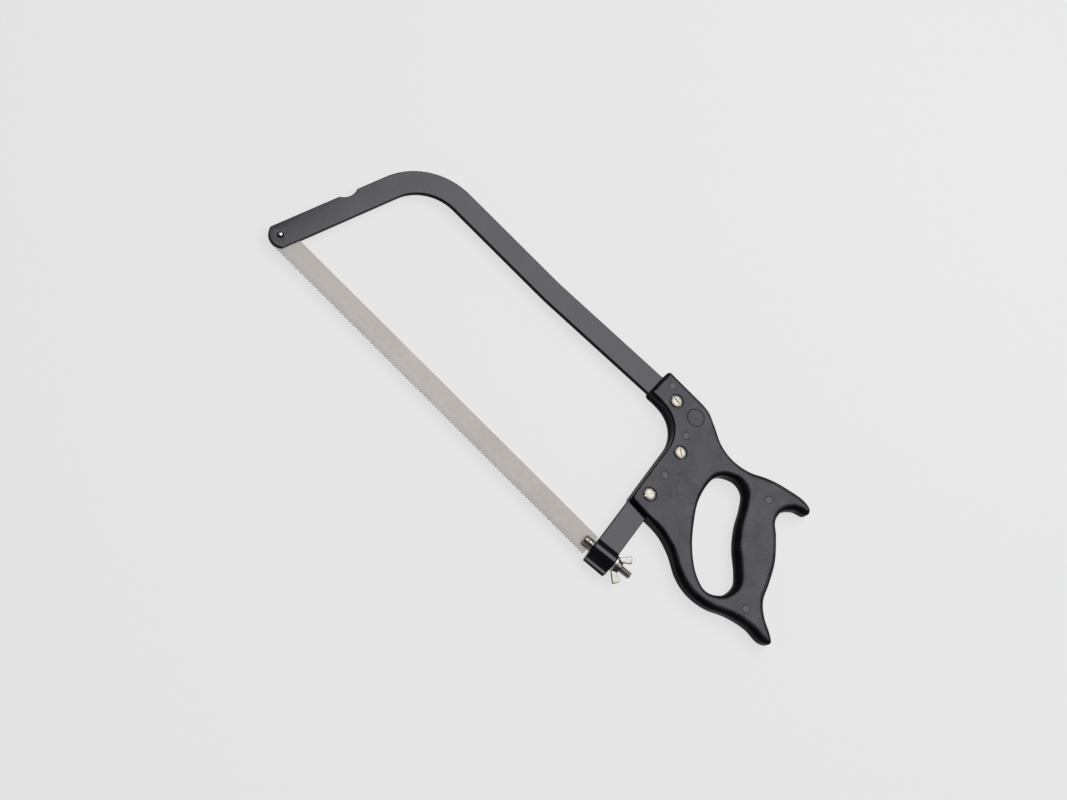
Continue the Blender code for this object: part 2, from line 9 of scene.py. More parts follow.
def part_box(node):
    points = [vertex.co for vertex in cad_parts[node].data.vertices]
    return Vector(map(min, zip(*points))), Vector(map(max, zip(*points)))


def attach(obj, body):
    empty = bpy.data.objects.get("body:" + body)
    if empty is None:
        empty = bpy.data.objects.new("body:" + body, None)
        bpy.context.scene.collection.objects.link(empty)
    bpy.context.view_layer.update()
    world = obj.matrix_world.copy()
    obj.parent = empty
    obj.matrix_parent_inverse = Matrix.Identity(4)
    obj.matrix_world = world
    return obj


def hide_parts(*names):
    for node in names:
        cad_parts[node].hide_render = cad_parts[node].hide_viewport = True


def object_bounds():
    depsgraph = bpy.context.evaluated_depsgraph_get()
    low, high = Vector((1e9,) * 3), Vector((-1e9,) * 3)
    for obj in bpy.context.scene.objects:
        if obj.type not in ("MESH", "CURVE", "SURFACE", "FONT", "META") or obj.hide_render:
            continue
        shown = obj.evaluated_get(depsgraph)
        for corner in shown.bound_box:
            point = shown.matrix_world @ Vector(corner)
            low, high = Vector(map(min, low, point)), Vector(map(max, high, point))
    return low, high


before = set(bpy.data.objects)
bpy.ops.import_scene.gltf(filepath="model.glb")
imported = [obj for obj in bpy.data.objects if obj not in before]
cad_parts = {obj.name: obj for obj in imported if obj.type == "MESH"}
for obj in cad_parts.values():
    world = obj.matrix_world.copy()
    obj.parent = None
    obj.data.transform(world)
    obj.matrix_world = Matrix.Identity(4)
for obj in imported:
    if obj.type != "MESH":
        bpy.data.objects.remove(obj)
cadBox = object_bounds()
scene = bpy.context.scene
pinLow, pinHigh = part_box("toe_pin")
sawOrigin = np.array((pinLow + pinHigh) / 2)  # toe pin, on the saw's mid-plane
print("frame loaded", [round(v, 4) for v in sawOrigin])


# flat geometry, in metres from the toe pin: x along the blade, y towards the spine
def heading(degrees):
    return np.array([math.cos(math.radians(degrees)), math.sin(math.radians(degrees))])


def leftOf(direction):
    return np.array([-direction[1], direction[0]])


def arcPoints(centre, radius, start, end, count):
    angles = np.radians(np.linspace(start, end, count))
    return np.asarray(centre) + radius * np.column_stack([np.cos(angles), np.sin(angles)])


def circleLoop(centre, radius, count=48):
    return arcPoints(centre, radius, 0, 360, count + 1)[:-1]


def turnOf(before, after):
    return math.degrees(math.atan2(before[0] * after[1] - before[1] * after[0], before @ after))


def roundedPath(corners, radii, step=1.5):  # straights and arcs, as points and left normals
    legs = [(b - a) / np.linalg.norm(b - a) for a, b in zip(corners, corners[1:])]
    points, normals = [corners[0]], [leftOf(legs[0])]
    for corner, before, after, radius in zip(corners[1:], legs, legs[1:], radii):
        turn = turnOf(before, after)
        side = leftOf(before) * np.sign(turn)
        start = corner - before * radius * math.tan(math.radians(abs(turn)) / 2)
        for angle in np.linspace(0, turn, max(3, int(abs(turn) / step) + 1)):
            c, s = heading(angle)
            spin = np.array([[c, -s], [s, c]])
            points.append(start + side * radius - spin @ side * radius)
            normals.append(spin @ leftOf(before))
    points.append(corners[-1])
    normals.append(leftOf(legs[-1]))
    return np.array(points), np.array(normals)


def smoothCurve(points, steps, closed=False):
    # p = b + mb t + (3(c-b) - 2mb - mc) t2 + (2(b-c) + mb + mc) t3, mb and mc the slopes at b and c
    p = np.asarray(points, float)
    if closed:
        p = np.vstack([p[-1:], p, p[:2]])
    a, b, c, d = p[:-3, None], p[1:-2, None], p[2:-1, None], p[3:, None]
    t = np.linspace(0, 1, steps, endpoint=False)[None, :, None]
    mb, mc = (c - a) / 2, (d - b) / 2
    curve = b + mb * t + (3 * (c - b) - 2 * mb - mc) * t**2 + (2 * (b - c) + mb + mc) * t**3
    curve = curve.reshape(-1, 2)
    return curve if closed else np.vstack([curve, p[-2]])


def area(loop):
    x, y = loop.T
    return 0.5 * np.sum(x * np.roll(y, -1) - np.roll(x, -1) * y)


def inside(points, loop):  # even-odd rule
    x, y = points.T
    hit = np.zeros(len(points), bool)
    for (x0, y0), (x1, y1) in zip(loop, np.roll(loop, -1, axis=0)):
        if y0 != y1:
            hit ^= ((y0 > y) != (y1 > y)) & (x < (x1 - x0) * (y - y0) / (y1 - y0) + x0)
    return hit


def fillPlane(loops, points=(), edges=()):  # triangles between a rim and its holes
    flat = np.vstack([*loops, *points])
    lines, start = list(edges), 0
    for loop in loops:
        n = len(loop)
        lines += [(start + i, start + (i + 1) % n) for i in range(n)]
        start += n
    made = delaunay_2d_cdt([Vector(p) for p in flat], lines, [], 0, 4e-6)
    spots, triangles = np.array([tuple(v) for v in made[0]]), np.array(made[2])
    where = np.zeros(len(flat), int)
    for i, ids in enumerate(made[3]):
        where[ids] = i
    corners = spots[triangles]
    middle = corners.mean(axis=1)
    edge = np.roll(corners, -1, axis=1) - corners
    twice = np.abs(edge[:, 0, 0] * edge[:, 1, 1] - edge[:, 0, 1] * edge[:, 1, 0])
    longest = np.linalg.norm(edge, axis=2).max(axis=1)
    keep = inside(middle, loops[0]) & (twice > 2e-8 * longest)  # no slivers
    for hole in loops[1:]:
        keep &= ~inside(middle, hole)
    return spots, triangles[keep], where


def easedRadius(loop, wanted):  # no larger than the outline's own turns, and changing slowly
    step = np.roll(loop, -1, axis=0) - loop
    size = np.linalg.norm(step, axis=1)
    before = np.roll(step, 1, axis=0)
    turn = np.arctan2(before[:, 0] * step[:, 1] - before[:, 1] * step[:, 0], (before * step).sum(axis=1))
    reach = (size + np.roll(size, 1)) / 2
    most = np.where(turn > 0.02, 0.8 * reach / np.maximum(turn, 0.02), 1.0)
    along = np.concatenate([[0], np.cumsum(size)])
    gap = np.abs(along[:-1, None] - along[None, :-1])
    gap = np.minimum(gap, along[-1] - gap)
    return np.minimum(wanted, (np.minimum(wanted, most)[None, :] + 0.35 * gap).min(axis=1))


def plateSurface(loops, radii, half, rings=6):
    # rounded plate: at angle f the rim is inset by r(1 - cos f) and lies at z = h - r + r sin f
    loops = [np.asarray(loop, float) for loop in loops]
    radii = [np.broadcast_to(np.asarray(radius, float), len(loop)) for loop, radius in zip(loops, radii)]
    for i, (loop, radius) in enumerate(zip(loops, radii)):
        if (area(loop) > 0) != (i == 0):
            loops[i], radii[i] = loop[::-1], radius[::-1]
    angles = np.linspace(0, math.pi / 2, rings)
    levels = [(-1, f) for f in angles[::-1]] + [(1, f) for f in angles]
    verts, faces, tops, base = [], [], [], 0
    for loop, radius in zip(loops, radii):
        n = len(loop)
        ahead = np.roll(loop, -1, axis=0) - loop
        ahead /= np.linalg.norm(ahead, axis=1)[:, None]
        normal = np.column_stack([-ahead[:, 1], ahead[:, 0]])
        inward = normal + np.roll(normal, 1, axis=0)
        inward /= np.maximum((inward**2).sum(axis=1), 0.5)[:, None] / 2
        r = easedRadius(loop, radius)
        for side, f in levels:
            flat = loop + inward * (r * (1 - math.cos(f)))[:, None]
            verts.append(np.column_stack([flat, side * (half - r + r * math.sin(f))]))
        i, j = np.meshgrid(np.arange(n), np.arange(len(levels) - 1))
        k = (i + 1) % n
        quads = base + np.stack([j * n + i, j * n + k, (j + 1) * n + k, (j + 1) * n + i], axis=-1)
        faces += quads.reshape(-1, 4).tolist()
        tops.append((base, base + (len(levels) - 1) * n, n))
        base += len(levels) * n
    points = np.vstack(verts)
    low = [np.arange(b, b + n) for b, _, n in tops]
    high = [np.arange(t, t + n) for _, t, n in tops]
    for ends, side in ((high, 1), (low, -1)):
        spots, triangles, where = fillPlane([points[ring, :2] for ring in ends])
        source = np.zeros(len(spots), int)
        source[where] = np.concatenate(ends)
        faces += source[triangles][:, ::side].tolist()
    return points, faces


def outlineDistance(points, loops, radii):  # distance to the nearest edge, and the rounding there
    best, rounding = np.full(len(points), 1.0), np.zeros(len(points))
    for loop, radius in zip(loops, radii):
        edge, rise = np.roll(loop, -1, axis=0) - loop, np.roll(radius, -1) - radius
        away = points[:, None] - loop[None]
        t = np.clip((away * edge).sum(axis=2) / (edge**2).sum(axis=1), 0, 1)
        far = np.linalg.norm(away - t[:, :, None] * edge, axis=2)
        near, row = far.argmin(axis=1), np.arange(len(points))
        closer = far[row, near] < best
        best = np.where(closer, far[row, near], best)
        rounding = np.where(closer, radius[near] + t[row, near] * rise[near], rounding)
    return best, rounding


def evenLoop(loop, radius, step=0.0015, blend=0.004):  # closer points, and roundings that change slowly
    edge = np.roll(loop, -1, axis=0) - loop
    counts = np.maximum(np.ceil(np.linalg.norm(edge, axis=1) / step).astype(int), 1)
    row = np.repeat(np.arange(len(loop)), counts)
    t = np.concatenate([np.arange(n) / n for n in counts])
    points = loop[row] + edge[row] * t[:, None]
    size = np.linalg.norm(np.roll(points, -1, axis=0) - points, axis=1)
    along = np.concatenate([[0], np.cumsum(size)])
    gap = np.abs(along[:-1, None] - along[None, :-1])
    weight = np.exp(-((np.minimum(gap, along[-1] - gap) / blend) ** 2)) * size
    return points, (weight @ radius[row]) / weight.sum(axis=1)


def pillowSurface(loops, radii, half, rings, dents, around=64):
    # full rounding: z = h - r + sqrt(r2 - (r - d)2), d the distance to the outline, r the rounding there
    for i, loop in enumerate(loops):
        loops[i], radii[i] = evenLoop(loop, radii[i])
        if (area(loop) > 0) != (i == 0):
            loops[i], radii[i] = loops[i][::-1], radii[i][::-1]
    circles = [circleLoop((x, y), size, around) for x, y, size, _ in dents]
    inner, edges = [], []
    for loop, radius in zip(loops, radii):
        ahead = np.roll(loop, -1, axis=0) - np.roll(loop, 1, axis=0)
        normal = np.column_stack([-ahead[:, 1], ahead[:, 0]]) / np.linalg.norm(ahead, axis=1)[:, None]
        for f in np.linspace(0, math.pi / 2, rings)[1:]:
            inset = radius * (1 - math.cos(f))
            moved = loop + normal * inset[:, None]
            keep = outlineDistance(moved, loops, radii)[0] > 0.985 * inset  # not past a nearer edge
            number = sum(map(len, inner)) + np.cumsum(keep) - 1
            linked = keep & np.roll(keep, -1)
            edges += np.column_stack([number, np.roll(number, -1)])[linked].tolist()
            inner.append(moved[keep])
    verts, faces, walls, base = [], [], [], 0
    for side, cut in ((1, circles), (-1, [])):
        first = sum(map(len, [*loops, *cut]))
        lines = [(a + first, b + first) for a, b in edges]
        flat, triangles, where = fillPlane([*loops, *cut], inner, lines)
        d, r = outlineDistance(flat, loops, radii)
        z = half - r + np.sqrt(np.maximum(r**2 - np.maximum(r - d, 0) ** 2, 0))
        verts.append(np.column_stack([flat, side * z]))
        faces += (triangles[:, ::side] + base).tolist()
        walls.append(where[:first] + base)
        base += len(flat)
    start = 0
    for loop in loops:
        i = start + np.arange(len(loop))
        k = np.roll(i, -1)
        faces += np.stack([walls[1][i], walls[1][k], walls[0][k], walls[0][i]], axis=-1).tolist()
        start += len(loop)
    for x, y, size, steps in dents:  # round dents in the top face, as (inset, depth) steps
        upper = walls[0][start : start + around]
        start += around
        for inset, depth in steps:
            ring = circleLoop((x, y), size - inset, around)
            verts.append(np.column_stack([ring, np.full(around, half - depth)]))
            lower = base + np.arange(around)
            faces += np.stack([upper, np.roll(upper, -1), np.roll(lower, -1), lower], axis=-1).tolist()
            upper, base = lower, base + around
        faces.append(upper.tolist())
    return np.vstack(verts), faces


def latheSurface(profile, count=64):  # (radius, height) points from the top down, spun about z
    profile = np.asarray(profile, float)
    angles = np.linspace(0, math.tau, count, endpoint=False)
    ring = np.stack([np.cos(angles), np.sin(angles)], axis=-1)
    xy = profile[:, None, 0, None] * ring
    z = np.broadcast_to(profile[:, None, 1, None], xy.shape[:2] + (1,))
    verts = np.concatenate([xy, z], axis=-1).reshape(-1, 3)
    j, i = np.meshgrid(np.arange(len(profile) - 1), np.arange(count), indexing="ij")
    k = (i + 1) % count
    quads = np.stack([j * count + i, (j + 1) * count + i, (j + 1) * count + k, j * count + k], axis=-1)
    return verts, quads.reshape(-1, 4).tolist()


def boxSurface(low, high):
    x, y, z = np.meshgrid(*zip(low, high), indexing="ij")
    verts = np.column_stack([x.ravel(), y.ravel(), z.ravel()])
    return verts, [(0, 1, 3, 2), (4, 6, 7, 5), (0, 4, 5, 1), (2, 3, 7, 6), (0, 2, 6, 4), (1, 5, 7, 3)]


def ringProfile(bore, radius, low, high, edge, top=None):  # closed, with rounded outer corners
    ring = [(bore, high), (top or radius, high), (radius, low), (bore, low)]
    return np.vstack([roundedProfile(ring, edge), ring[:1]])


def boreProfile(radius, reach=0.02):  # a lathe profile that cuts right through
    return [(0, reach), (radius, reach), (radius, -reach), (0, -reach)]


def roundedProfile(profile, radius, steps=4):  # rounds the inner corners of a lathe profile
    profile = np.asarray(profile, float)
    rounded = [profile[0]]
    for before, corner, after in zip(profile, profile[1:], profile[2:]):
        a, b = before - corner, after - corner
        reach = min(radius, 0.45 * np.linalg.norm(a), 0.45 * np.linalg.norm(b))
        start = corner + a / np.linalg.norm(a) * reach
        end = corner + b / np.linalg.norm(b) * reach
        for t in np.linspace(0, 1, steps):
            rounded.append((1 - t) ** 2 * start + 2 * t * (1 - t) * corner + t**2 * end)
    return np.array(rounded + [profile[-1]])


# objects
def weldPoints(mesh, distance):
    shape = bmesh.new()
    shape.from_mesh(mesh)
    bmesh.ops.remove_doubles(shape, verts=shape.verts, dist=distance)
    shape.to_mesh(mesh)
    shape.free()


def newPiece(name, verts, faces, place=None, weld=True):
    verts = np.asarray(verts, float)
    if place is not None:
        verts = verts @ place[:3, :3].T + place[:3, 3]
    mesh = bpy.data.meshes.new(name)
    mesh.from_pydata((verts + sawOrigin).tolist(), [], [list(f) for f in faces])
    if weld:
        weldPoints(mesh, 1e-7)
    mesh.update()
    piece = bpy.data.objects.new(name, mesh)
    scene.collection.objects.link(piece)
    return piece


def carve(piece, tool, operation="DIFFERENCE"):
    change = piece.modifiers.new("carve", "BOOLEAN")
    change.operation = operation
    change.solver = "EXACT"
    change.object = tool
    bakeModifiers(piece)
    bpy.data.objects.remove(tool, do_unlink=True)


def bakeModifiers(piece):
    bpy.context.view_layer.update()
    graph = bpy.context.evaluated_depsgraph_get()
    made = bpy.data.meshes.new_from_object(piece.evaluated_get(graph))
    piece.modifiers.clear()
    piece.data = made


def finishPiece(piece, material, body, slotName, *nodes, angle=40, wall=None, slope=0.6):
    piece.data.materials.clear()
    piece.data.materials.append(material)
    count = len(piece.data.polygons)
    index = np.zeros(count, np.int32)
    if wall:  # a second, darker copy of the material where the surface is steep: painted shade on the walls
        piece.data.materials.append(wall)
        normals = np.empty(3 * count)
        piece.data.polygons.foreach_get("normal", normals)
        index[np.abs(normals[2::3]) < slope] = 1
    piece.data.polygons.foreach_set("material_index", index)
    piece.data.shade_smooth()
    piece.data.set_sharp_from_angle(angle=math.radians(angle))
    even = piece.modifiers.new("evenShade", "WEIGHTED_NORMAL")
    even.keep_sharp = True
    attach(piece, body)
    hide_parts(*nodes)
    print("built", piece.name, len(piece.data.polygons), "faces")


# shader groups
def newGroup(name, inputs, outputs):
    tree = bpy.data.node_groups.new(name, "ShaderNodeTree")
    for label, kind, value in inputs:
        socket = tree.interface.new_socket(label, in_out="INPUT", socket_type=kind)
        if value is not None:
            socket.default_value = value
    for label, kind in outputs:
        tree.interface.new_socket(label, in_out="OUTPUT", socket_type=kind)
    return tree, tree.nodes.new("NodeGroupInput"), tree.nodes.new("NodeGroupOutput")


def feed(tree, socket, value):  # by a link or as a constant
    if isinstance(value, bpy.types.NodeSocket):
        tree.links.new(value, socket)
    else:
        socket.default_value = value


def addNode(tree, kind, **sockets):
    node = tree.nodes.new(kind)
    for key, value in sockets.items():
        feed(tree, node.inputs[key.replace("_", " ")], value)
    return node


def mathNode(tree, operation, a, b=0.0):
    node = tree.nodes.new("ShaderNodeMath")
    node.operation = operation
    feed(tree, node.inputs[0], a)
    feed(tree, node.inputs[1], b)
    return node.outputs[0]


def mottleGroup():  # broad and fine noise mixed to a value between Low and High
    sockets = [("Vector", "NodeSocketVector", None), ("Scale", "NodeSocketFloat", 60.0)]
    sockets += [("Low", "NodeSocketFloat", 0.3), ("High", "NodeSocketFloat", 0.4)]
    tree, given, result = newGroup("mottle", sockets, [("Value", "NodeSocketFloat")])
    place, scale = given.outputs["Vector"], given.outputs["Scale"]
    broad = addNode(tree, "ShaderNodeTexNoise", Vector=place, Scale=scale, Detail=4.0)
    fineScale = mathNode(tree, "MULTIPLY", scale, 11.0)
    fine = addNode(tree, "ShaderNodeTexNoise", Vector=place, Scale=fineScale, Detail=2.0)
    broadShare = mathNode(tree, "MULTIPLY", broad.outputs[0], 0.65)
    fineShare = mathNode(tree, "MULTIPLY", fine.outputs[0], 0.35)
    both = mathNode(tree, "ADD", broadShare, fineShare)
    spread = addNode(tree, "ShaderNodeMapRange", Value=both, From_Min=0.3, From_Max=0.7)
    feed(tree, spread.inputs["To Min"], given.outputs["Low"])
    feed(tree, spread.inputs["To Max"], given.outputs["High"])
    tree.links.new(spread.outputs[0], result.inputs["Value"])
    return tree


def grainGroup():  # noise stretched along x, as rolling and polishing leave it
    sockets = [("Vector", "NodeSocketVector", None)]
    sockets += [("Along", "NodeSocketFloat", 12.0), ("Across", "NodeSocketFloat", 2400.0)]
    tree, given, result = newGroup("grain", sockets, [("Value", "NodeSocketFloat")])
    along, across = given.outputs["Along"], given.outputs["Across"]
    stretch = addNode(tree, "ShaderNodeCombineXYZ", X=along, Y=across, Z=across)
    scaled = tree.nodes.new("ShaderNodeVectorMath")
    scaled.operation = "MULTIPLY"
    tree.links.new(given.outputs["Vector"], scaled.inputs[0])
    tree.links.new(stretch.outputs[0], scaled.inputs[1])
    lines = addNode(tree, "ShaderNodeTexNoise", Vector=scaled.outputs[0], Scale=1.0, Detail=5.0, Roughness=0.65)
    tree.links.new(lines.outputs[0], result.inputs["Value"])
    return tree


def peelGroup():  # fine bump of sprayed paint or textured moulding
    sockets = [("Vector", "NodeSocketVector", None), ("Scale", "NodeSocketFloat", 900.0)]
    sockets += [("Strength", "NodeSocketFloat", 0.2), ("Distance", "NodeSocketFloat", 0.0001)]
    tree, given, result = newGroup("peel", sockets, [("Normal", "NodeSocketVector")])
    place, scale = given.outputs["Vector"], given.outputs["Scale"]
    strength, distance = given.outputs["Strength"], given.outputs["Distance"]
    noise = addNode(tree, "ShaderNodeTexNoise", Vector=place, Scale=scale, Detail=3.0)
    bump = addNode(tree, "ShaderNodeBump", Height=noise.outputs[0], Strength=strength, Distance=distance)
    tree.links.new(bump.outputs[0], result.inputs["Normal"])
    return tree


def flowGroup():  # bent rings that fade out from a centre, as plastic leaves them near a mould gate
    sockets = [("Vector", "NodeSocketVector", None), ("Centre", "NodeSocketVector", None)]
    sockets += [("Reach", "NodeSocketFloat", 0.03), ("Strength", "NodeSocketFloat", 0.3)]
    tree, given, result = newGroup("flow", sockets, [("Value", "NodeSocketFloat")])
    away = tree.nodes.new("ShaderNodeVectorMath")
    away.operation = "SUBTRACT"
    tree.links.new(given.outputs["Vector"], away.inputs[0])
    tree.links.new(given.outputs["Centre"], away.inputs[1])
    far = tree.nodes.new("ShaderNodeVectorMath")
    far.operation = "LENGTH"
    tree.links.new(away.outputs[0], far.inputs[0])
    rings = addNode(tree, "ShaderNodeTexWave", Vector=away.outputs[0], Scale=62.0, Distortion=16.0, Detail=2.0)
    rings.inputs["Detail Scale"].default_value = 0.7
    rings.wave_type, rings.rings_direction = "RINGS", "SPHERICAL"
    gap, reach = far.outputs["Value"], given.outputs["Reach"]
    outer = addNode(tree, "ShaderNodeMapRange", Value=gap, From_Min=reach, From_Max=0.008)
    inner = addNode(tree, "ShaderNodeMapRange", Value=gap, From_Min=0.002, From_Max=0.010)
    fade = mathNode(tree, "MULTIPLY", outer.outputs[0], inner.outputs[0])
    centred = mathNode(tree, "SUBTRACT", rings.outputs["Fac"], 0.5)
    swing = mathNode(tree, "MULTIPLY", centred, given.outputs["Strength"])
    tree.links.new(mathNode(tree, "MULTIPLY", swing, fade), result.inputs["Value"])
    return tree


mottle, grain, peel, flow = mottleGroup(), grainGroup(), peelGroup(), flowGroup()


def useGroup(tree, group, **sockets):
    node = tree.nodes.new("ShaderNodeGroup")
    node.node_tree = group
    for label, value in sockets.items():
        feed(tree, node.inputs[label], value)
    return node.outputs[0]


def newMaterial(name, metallic=0.0, **sockets):
    material = bpy.data.materials.new(name)
    material.use_nodes = True
    tree = material.node_tree
    shader = tree.nodes["Principled BSDF"]
    shader.inputs["Metallic"].default_value = metallic
    for label, value in sockets.items():
        shader.inputs[label.replace("_", " ")].default_value = value
    place = tree.nodes.new("ShaderNodeTexCoord").outputs["Object"]
    return material, tree, shader, place


def colourRamp(tree, value, dark, light, low=0.0, high=1.0):
    ramp = tree.nodes.new("ShaderNodeValToRGB")
    ramp.color_ramp.elements[0].position, ramp.color_ramp.elements[1].position = low, high
    ramp.color_ramp.elements[0].color, ramp.color_ramp.elements[1].color = (*dark, 1), (*light, 1)
    tree.links.new(value, ramp.inputs[0])
    return ramp.outputs[0]


def setFinish(tree, shader, place, rough, roughScale, peelScale, strength, depth=0.0001):
    gloss = useGroup(tree, mottle, Vector=place, Scale=roughScale, Low=rough[0], High=rough[1])
    tree.links.new(gloss, shader.inputs["Roughness"])
    normal = useGroup(tree, peel, Vector=place, Scale=peelScale, Strength=strength, Distance=depth)
    tree.links.new(normal, shader.inputs["Normal"])


coolTint = (0.93, 0.92, 1.0, 1.0)


def blackPaint(name, specular):
    paint = dict(dark=(0.004, 0.004, 0.006), light=(0.012, 0.0115, 0.015), rough=(0.16, 0.24))
    material, tree, shader, place = newMaterial(name, Specular_IOR_Level=specular, Specular_Tint=coolTint)
    tone = useGroup(tree, mottle, Vector=place, Scale=45.0, Low=0.0, High=1.0)
    tree.links.new(colourRamp(tree, tone, paint["dark"], paint["light"]), shader.inputs["Base Color"])
    setFinish(tree, shader, place, paint["rough"], 30.0, 1400.0, 0.05)
    return material


def blackPlastic(name, specular, dark, light):
    plastic = dict(rough=(0.24, 0.34), gate=(0.4385, 0.1105, 0.010), reach=0.034, flow=0.75)
    material, tree, shader, place = newMaterial(name, Specular_IOR_Level=specular, Specular_Tint=coolTint)
    broad = useGroup(tree, mottle, Vector=place, Scale=70.0, Low=-0.2, High=1.2)
    gate = tuple(float(v) for v in sawOrigin + plastic["gate"])
    swirl = useGroup(tree, flow, Vector=place, Centre=gate, Reach=plastic["reach"], Strength=plastic["flow"])
    tone = mathNode(tree, "ADD", broad, swirl)
    tree.links.new(colourRamp(tree, tone, dark, light), shader.inputs["Base Color"])
    setFinish(tree, shader, place, plastic["rough"], 25.0, 2600.0, 0.12)
    return material


def bladeSteel(span, teeth, back):
    steel = dict(dark=(0.350, 0.331, 0.315), light=(0.500, 0.477, 0.460), rough=(0.56, 0.68), wearAndToeLight=(0.30, -0.16))
    bands = [(0.0, (0.90, 0.93, 0.96)), (0.18, (0.93, 0.955, 0.98)), (0.30, (1, 1, 1))]
    bands += [(0.55, (1.0, 0.975, 0.975)), (0.95, (0.97, 0.98, 0.97))]  # from the teeth to the back
    material, tree, shader, place = newMaterial("bladeSteel", metallic=1.0)
    lines = useGroup(tree, grain, Vector=place, Along=14.0, Across=2600.0)
    patches = useGroup(tree, mottle, Vector=place, Scale=16.0, Low=-0.12, High=0.12)
    axes = addNode(tree, "ShaderNodeSeparateXYZ", Vector=place)
    x, y = float(sawOrigin[0]), float(sawOrigin[1])
    # the tone lightens from the tail towards the toe: some wear, and painted light that makes up for the lamp light
    # the toe lacks
    wearAndToeLight = addNode(tree, "ShaderNodeMapRange", Value=axes.outputs["X"], From_Min=x, From_Max=x + span)
    wearAndToeLight.inputs["To Min"].default_value, wearAndToeLight.inputs["To Max"].default_value = steel["wearAndToeLight"]
    tone = mathNode(tree, "ADD", mathNode(tree, "ADD", lines, patches), wearAndToeLight.outputs[0])
    across = addNode(tree, "ShaderNodeMapRange", Value=axes.outputs["Y"], From_Min=y + teeth, From_Max=y + back)
    tint = tree.nodes.new("ShaderNodeValToRGB")
    while len(tint.color_ramp.elements) < len(bands):
        tint.color_ramp.elements.new(0.5)
    for stop, (at, colour) in zip(tint.color_ramp.elements, bands):
        stop.position, stop.color = at, (*colour, 1)
    tree.links.new(across.outputs[0], tint.inputs[0])
    both = tree.nodes.new("ShaderNodeMix")
    both.data_type, both.blend_type = "RGBA", "MULTIPLY"
    both.inputs["Factor"].default_value = 1.0
    tree.links.new(colourRamp(tree, tone, steel["dark"], steel["light"], 0.25, 0.75), both.inputs[6])
    tree.links.new(tint.outputs[0], both.inputs[7])
    tree.links.new(both.outputs[2], shader.inputs["Base Color"])
    rough = addNode(tree, "ShaderNodeMapRange", Value=lines, From_Min=0.3, From_Max=0.7)
    rough.inputs["To Min"].default_value, rough.inputs["To Max"].default_value = steel["rough"]
    tree.links.new(rough.outputs[0], shader.inputs["Roughness"])
    bump = addNode(tree, "ShaderNodeBump", Height=lines, Strength=0.12, Distance=0.00005)
    tree.links.new(bump.outputs[0], shader.inputs["Normal"])
    return material


def platedMetal(name, dark, light, rough, scale):
    material, tree, shader, place = newMaterial(name, metallic=1.0)
    tone = useGroup(tree, mottle, Vector=place, Scale=scale, Low=0.0, High=1.0)
    tree.links.new(colourRamp(tree, tone, dark, light), shader.inputs["Base Color"])
    setFinish(tree, shader, place, rough, scale * 1.7, scale * 9, 0.08, 0.00008)
    return material


# the bar's steep walls take a copy of the paint with almost no sheen, so they read dark: painted shade
paint, shadedPaintWall = blackPaint("blackPaint", 0.50), blackPaint("blackPaintShadedWall", 0.02)
plastic = blackPlastic("blackPlastic", 0.35, (0.003, 0.003, 0.006), (0.036, 0.0355, 0.040))
# the handle's steep walls take a darker, nearly sheenless copy of the plastic: painted shade
shadedPlasticWall = blackPlastic("blackPlasticShadedWall", 0.025, (0.002, 0.002, 0.004), (0.010, 0.0098, 0.012))
plasticMark = blackPlastic("blackPlasticMark", 0.35, (0.042, 0.0415, 0.046), (0.078, 0.077, 0.082))
nickel = platedMetal("brightNickel", (0.36, 0.355, 0.35), (0.49, 0.485, 0.48), (0.20, 0.34), 260.0)
wingNickel = platedMetal("wingNickel", (0.32, 0.307, 0.287), (0.46, 0.445, 0.42), (0.42, 0.54), 260.0)
# steep faces of the toe pin and wing nut take a dark copy of the nickel, drawing dark outlines: painted shade
shadedNickelEdge = platedMetal("nickelShadedEdge", (0.045, 0.038, 0.033), (0.10, 0.086, 0.075), (0.34, 0.46), 260.0)
screwNickel = platedMetal("dullNickel", (0.285, 0.265, 0.230), (0.425, 0.398, 0.353), (0.34, 0.48), 260.0)
zinc = platedMetal("paleZinc", (0.38, 0.365, 0.345), (0.50, 0.485, 0.46), (0.30, 0.42), 300.0)
headMetal = platedMetal("darkBolt", (0.13, 0.108, 0.100), (0.30, 0.265, 0.245), (0.20, 0.34), 340.0)
boltMetal = platedMetal("dullBolt", (0.24, 0.208, 0.195), (0.43, 0.39, 0.365), (0.26, 0.40), 340.0)
print("materials made")


# bow: the bar's centre line from toe to tail
bow = dict(width=0.0234, half=0.003, edge=0.0009, lip=0.0016, bends=(0.058, 0.3, 0.045))
bow.update(lean=74.0, spine=0.1588, rise=2.9, riseStart=0.214, tail=-84.8, barEnd=0.0163)
bow.update(pinOffset=0.0008, toeEnd=0.0106, toeRadius=0.0136, pinHole=0.0024, pinSink=0.0013, screwHole=0.0029)
bow.update(bladeBack=0.0108, kerfHalf=0.0006, kerfGap=0.0008)
notch = dict(height=0.0800, length=0.0195, depth=0.0036)
eye = dict(span=0.4064, tilt=6.5, headBack=0.0042, gap=0.0004, radius=0.0087, proud=0.0005, bore=0.0040)
eye.update(edge=0.0006, fillets=(0.0025, 0.0150))
eyeLength = bow["width"] + 2 * eye["proud"]
eyeFromPin = eye["headBack"] + eye["gap"] + eyeLength / 2
boltDir = heading(eye["tilt"])
tailPin = np.array([eye["span"], 0.0])
eyeCentre = tailPin + boltDir * eyeFromPin
legDir, spineDir, tailDir = heading(bow["lean"]), heading(bow["rise"]), heading(bow["tail"])


def cross(a, b):
    return a[0] * b[1] - a[1] * b[0]


